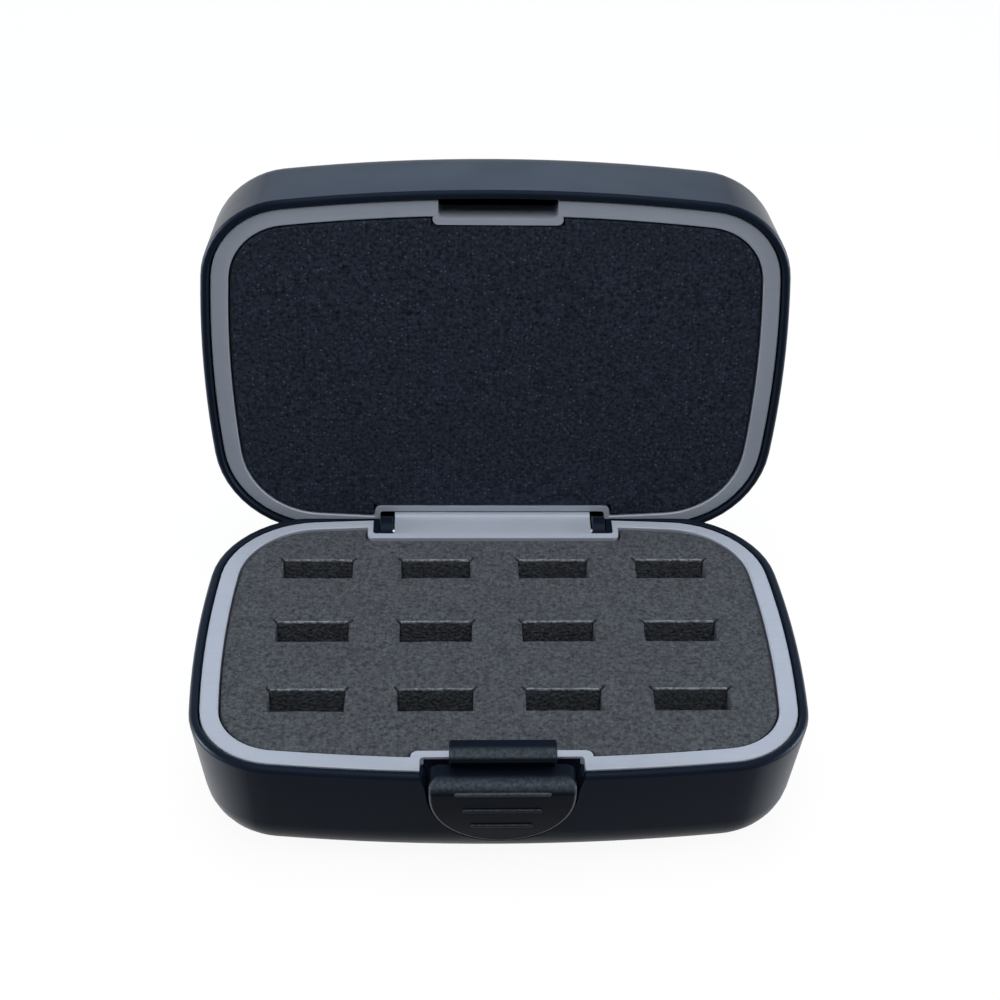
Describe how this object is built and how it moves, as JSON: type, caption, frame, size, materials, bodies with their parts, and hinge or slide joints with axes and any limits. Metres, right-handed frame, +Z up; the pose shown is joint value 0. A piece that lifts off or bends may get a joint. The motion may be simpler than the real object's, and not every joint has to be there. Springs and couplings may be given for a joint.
{
  "type": "battery case",
  "caption": "Small hinged hard case with rounded corners for button cells: slotted foam in the base, plain foam in the lid, grey liner frames and a sprung latch button.",
  "frame": {"origin": "middle of the flat bottom of the base, under the middle of the case's outline", "axes": "+X along the width to the right seen from the front, +Y to the back where the hinge is, +Z up"},
  "size_m": [0.1008, 0.0933, 0.0851],
  "materials": {
    "shell": "satin",
    "latch": "satin",
    "liner": "satin",
    "slotted_foam": "matte",
    "lid_foam": "matte",
    "steel": "satin"
  },
  "bodies": {
    "base": {"base_shell": "shell", "base_liner": "liner", "slotted_foam": "slotted_foam", "foam_pad": "slotted_foam", "hinge_pin": "steel", "latch_pin": "steel", "latch_spring": "steel"},
    "lid": {"lid_shell": "shell", "lid_liner": "liner", "lid_foam": "lid_foam", "hinge_barrel": "liner"},
    "latch": {"latch_button": "latch"}
  },
  "joints": [
    {"name": "lid_hinge", "type": "hinge", "parent": "base", "child": "lid", "pos_m": [0, 0.0314, 0.0194], "axis": [1, 0, 0], "range_deg": [0, 92]},
    {"name": "latch_press", "type": "hinge", "parent": "base", "child": "latch", "pos_m": [0, -0.0307, 0.009], "axis": [-1, 0, 0], "range_deg": [0, 2.8], "stiffness_Nm_per_rad": 1, "springref_deg": -2.86, "deforming": ["latch_spring"]}
  ]
}
